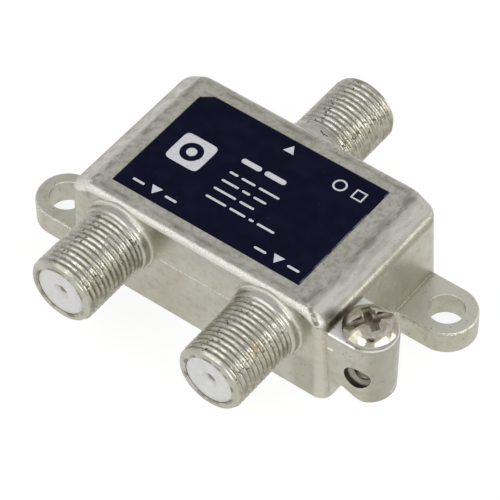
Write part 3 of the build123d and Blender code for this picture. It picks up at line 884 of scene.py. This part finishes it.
def clamp_screw(frame, material):
    """The earthing screw with a rolled thread in place of its plain shank."""
    bm = without(frame["nodes"]["ground_screw"], lambda points: all(on_shank(point) for point in points))
    x, y = SCREW_PLACE

    def place(angle, along, radius):
        return Vector((x + radius * math.cos(angle), y + radius * math.sin(angle), along)) * MM

    def radius_at(angle, along):
        run_out = smoothed(along, SHANK_TOP, SHANK_TOP - SHANK_RUN_OUT)
        run_in = smoothed(along, SHANK_END, SHANK_END + SHANK_RUN_IN)
        turn = along / SHANK_PITCH - angle / TAU
        return SHANK_RADIUS - SHANK_DEPTH * run_out * run_in * thread_profile(turn)

    rows = round((SHANK_TOP - SHANK_END) / SHANK_PITCH * SHANK_RINGS)
    stations = [SHANK_END + (SHANK_TOP - SHANK_END) * row / rows for row in range(rows + 1)]
    sleeve(bm, place, SHANK_POINTS, stations, radius_at)
    piece = new_piece("clamp_screw", bm, material, "earth_screw")
    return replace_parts(piece, "ground_screw")


def prism(bm, outline):
    """A flat patch of ink with straight sides, from an outline in millimetres."""
    lower = [bm.verts.new(Vector((x, y, LABEL_TOP - INK)) * MM) for x, y in outline]
    upper = [bm.verts.new(Vector((x, y, LABEL_TOP + INK)) * MM) for x, y in outline]
    bm.faces.new(upper)
    bm.faces.new(reversed(lower))
    for i, vert in enumerate(lower):
        after = (i + 1) % len(lower)
        bm.faces.new((vert, lower[after], upper[after], upper[i]))


def squared(angle, power=8):
    """How far the edge of a square with rounded corners is from its middle, where its half width is one."""
    return (math.cos(angle) ** power + math.sin(angle) ** power) ** (-1 / power)


def ring(bm, x, y, outer, inner, corners, turn=0.0, square=False):
    """A flat ring of ink, round or with few corners, or with a rounded square outside."""
    loops = []
    for radius, height in ((outer, -INK), (outer, INK), (inner, INK), (inner, -INK)):
        loop = []
        for angle in turned(corners):
            angle += turn
            reach = radius * squared(angle) if square and radius == outer else radius
            spot = (x + reach * math.cos(angle), y + reach * math.sin(angle), LABEL_TOP + height)
            loop.append(bm.verts.new(Vector(spot) * MM))
        loops.append(loop)
    for lower, upper in zip(loops, loops[1:] + loops[:1]):
        for i in range(corners):
            after = (i + 1) % corners
            bm.faces.new((lower[i], lower[after], upper[after], upper[i]))


def bar(start, end, y, height, steps=6):
    """Outline of a bar whose ends are rounded in so many steps."""
    half = height / 2
    points = []
    for x, first in ((end - half, -math.pi / 2), (start + half, math.pi / 2)):
        for step in range(steps + 1):
            angle = first + math.pi * step / steps
            points.append((x + half * math.cos(angle), y + half * math.sin(angle)))
    return points


def label_print(material):
    """Generic print: arrows and bars at the ports, rows of bars, ring, small square and a socket's sign."""
    bm = bmesh.new()
    for x, tip, base in ARROWS:
        points = [(x - ARROW_HALF_WIDTH, base), (x + ARROW_HALF_WIDTH, base), (x, tip)]
        prism(bm, points if tip > base else points[::-1])
    for x in (ARROWS[1][0], ARROWS[2][0]):
        for start in SIDE_BAR_STARTS:
            prism(bm, bar(x + start, x + start + SIDE_BAR_LENGTH, SIDE_BAR_Y, SIDE_BAR_HEIGHT))
    for y, height, lengths in ROWS:
        start = ROW_START
        for length in lengths:
            prism(bm, bar(start, start + length, y, height))
            start += length + ROW_GAP
    ring(bm, *PATCH, corners=64, square=True)
    x, y = PATCH[:2]
    dot = [(x + PATCH_DOT * math.cos(a), y + PATCH_DOT * math.sin(a)) for a in turned(PATCH_DOT_POINTS)]
    prism(bm, dot)
    ring(bm, *RING, corners=40)
    ring(bm, *SQUARE, corners=4, turn=math.pi / 4)
    bmesh.ops.recalc_face_normals(bm, faces=bm.faces)
    return new_piece("label_print", bm, material, "casing", smooth=False)


def outward(azimuth, elevation):
    """The direction from the object to a place seen at an angle round it and above it, in radians."""
    flat = math.cos(elevation)
    return Vector((math.sin(azimuth) * flat, -math.cos(azimuth) * flat, math.sin(elevation)))


def stand_away(thing, azimuth, elevation, distance):
    """Places a lamp or a panel at an angle round the object, facing it."""
    away = outward(math.radians(azimuth), math.radians(elevation))
    thing.location = away * distance
    thing.rotation_euler = away.to_track_quat("Z", "Y").to_euler()
    bpy.context.scene.collection.objects.link(thing)


def softbox(name, azimuth, elevation, distance, width, height, radiance):
    """A large lamp aimed at the object."""
    data = bpy.data.lights.new(name, "AREA")
    data.shape = "RECTANGLE"
    data.size = width
    data.size_y = height
    data.energy = radiance * math.pi * width * height
    stand_away(bpy.data.objects.new(name, data), azimuth, elevation, distance)


def plane(name, width, depth, grey):
    """A flat sheet with a matt material of its own."""
    bm = bmesh.new()
    bmesh.ops.create_grid(bm, x_segments=1, y_segments=1, size=0.5)
    bmesh.ops.scale(bm, vec=(width, depth, 1), verts=bm.verts)
    mesh = bpy.data.meshes.new(name)
    bm.to_mesh(mesh)
    bm.free()
    material = bpy.data.materials.new(name)
    material.use_nodes = True
    surface = material.node_tree.nodes["Principled BSDF"]
    surface.inputs["Base Color"].default_value = (grey, grey, grey, 1)
    surface.inputs["Roughness"].default_value = 0.9
    surface.inputs["Specular IOR Level"].default_value = 0.1
    mesh.materials.append(material)
    return bpy.data.objects.new(name, mesh)


def seen_directly(tree):
    """One for camera, glossy and transmission rays, so that they meet the same plain background."""
    path = tree.nodes.new("ShaderNodeLightPath")
    total = path.outputs["Is Camera Ray"]
    for name in ("Is Glossy Ray", "Is Transmission Ray"):
        add = tree.nodes.new("ShaderNodeMath")
        add.operation = "MAXIMUM"
        tree.links.new(total, add.inputs[0])
        tree.links.new(path.outputs[name], add.inputs[1])
        total = add.outputs[0]
    return total


def glowing_floor():
    """Pale floor that keeps the shadow, and glows a little where it is seen directly."""
    floor = plane("floor", FLOOR_SIZE, FLOOR_SIZE, FLOOR_GREY)
    floor.location.z = -FLOOR_DROP
    bpy.context.scene.collection.objects.link(floor)
    tree = floor.data.materials[0].node_tree
    glow = tree.nodes.new("ShaderNodeEmission")
    glow.inputs["Strength"].default_value = FLOOR_GLOW
    share = tree.nodes.new("ShaderNodeMath")
    share.operation = "MULTIPLY"
    share.inputs[1].default_value = FLOOR_GLOW_SHARE
    blend = tree.nodes.new("ShaderNodeMixShader")
    tree.links.new(seen_directly(tree), share.inputs[0])
    tree.links.new(share.outputs[0], blend.inputs[0])
    tree.links.new(tree.nodes["Principled BSDF"].outputs[0], blend.inputs[1])
    tree.links.new(glow.outputs[0], blend.inputs[2])
    tree.links.new(blend.outputs[0], tree.nodes["Material Output"].inputs["Surface"])


def white_room():
    """A white world, brighter where it is seen directly."""
    world = bpy.data.worlds.new("room")
    bpy.context.scene.world = world
    world.use_nodes = True
    tree = world.node_tree
    background = tree.nodes["Background"]
    background.inputs["Color"].default_value = (1, 1, 1, 1)
    level = tree.nodes.new("ShaderNodeMapRange")
    level.inputs["To Min"].default_value = ROOM_LIGHT
    level.inputs["To Max"].default_value = ROOM_SEEN
    tree.links.new(seen_directly(tree), level.inputs["Value"])
    tree.links.new(level.outputs[0], background.inputs["Strength"])


def studio():
    """Floor, room, and softboxes beside a dark flag that polished parts reflect."""
    glowing_floor()
    white_room()
    flag = plane("flag", *FLAG_SIZE, FLAG_GREY)
    stand_away(flag, VIEW_AZIMUTH, VIEW_ELEVATION, FLAG_DISTANCE)
    for lamp in SOFTBOXES:
        softbox(*lamp)


def photograph_camera():
    """The photograph's view, from a distance fitted to its perspective."""
    azimuth = math.radians(VIEW_AZIMUTH)
    roll = math.radians(VIEW_ROLL)
    back = outward(azimuth, math.radians(VIEW_ELEVATION))
    level = Vector((math.cos(azimuth), math.sin(azimuth), 0))
    upright = back.cross(level)
    right = level * math.cos(roll) + upright * math.sin(roll)
    up = upright * math.cos(roll) - level * math.sin(roll)
    place = (back * VIEW_DISTANCE + right * VIEW_OFFSET[0] + up * VIEW_OFFSET[1]) * MM
    data = bpy.data.cameras.new("camera")
    data.sensor_width = SENSOR_WIDTH
    data.lens = FOCAL_PIXELS / IMAGE_PIXELS * SENSOR_WIDTH
    data.clip_start = CLIP_START
    data.clip_end = CLIP_END
    camera = bpy.data.objects.new("camera", data)
    turn = Matrix((right, up, back)).transposed().to_4x4()
    camera.matrix_world = Matrix.Translation(place) @ turn
    bpy.context.scene.collection.objects.link(camera)
    bpy.context.scene.camera = camera


def carried_over_materials():
    """Finishes of the CAD nodes that are shown as they are, by the start of their names."""
    wire = plain_material("copper_wire", (176, 96, 52), (196, 116, 66), 2.0, 0.35, metal=1.0)
    ferrite = plain_material("ferrite", (44, 43, 44), (60, 59, 60), 5.0, 0.75, relief=0.02)
    solder = plain_material("solder", (186, 186, 184), (206, 206, 203), 1.6, 0.25, metal=1.0, relief=0.02)
    bronze = plain_material("contact_bronze", (196, 168, 106), (214, 188, 128), 1.2, 0.3, metal=1.0)
    brushed = {"metal": 1.0, "relief": 0.01, "stretch": (0.12, 3, 1)}
    cover = plain_material("cover_steel", (160, 160, 156), (182, 182, 178), 1.4, 0.36, **brushed)
    diode = plain_material("diode_body", (20, 20, 21), (32, 32, 34), 4.0, 0.5, relief=0.01)
    capacitor = chip_material("capacitor_body", (142, 108, 70), (160, 124, 84))
    resistor = chip_material("resistor_body", (24, 24, 27), (38, 38, 42))
    return {
        "back_cover": cover,
        "choke_core": ferrite,
        "matching_core": ferrite,
        "hybrid_core": ferrite,
        "choke_winding": wire,
        "matching_winding": wire,
        "hybrid_winding": wire,
        "contact": bronze,
        "solder_joint": solder,
        "coupling_capacitor": capacitor,
        "compensation_capacitor": capacitor,
        "isolation_resistor": resistor,
        "steering_diode": diode,
        "circuit_board": board_material(),
        "insulator": insulator_material(),
        "label": label_material(),
    }


def main():
    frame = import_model()
    bpy.context.scene.view_settings.view_transform = "Standard"

    finishes = carried_over_materials()
    for name, node in frame["nodes"].items():
        for start, material in finishes.items():
            if name.startswith(start):
                node.data.materials.clear()
                node.data.materials.append(material)
    casting(frame, casting_material())
    clamp_screw(frame, screw_material())
    label_print(ink_material())

    studio()
    photograph_camera()


main()
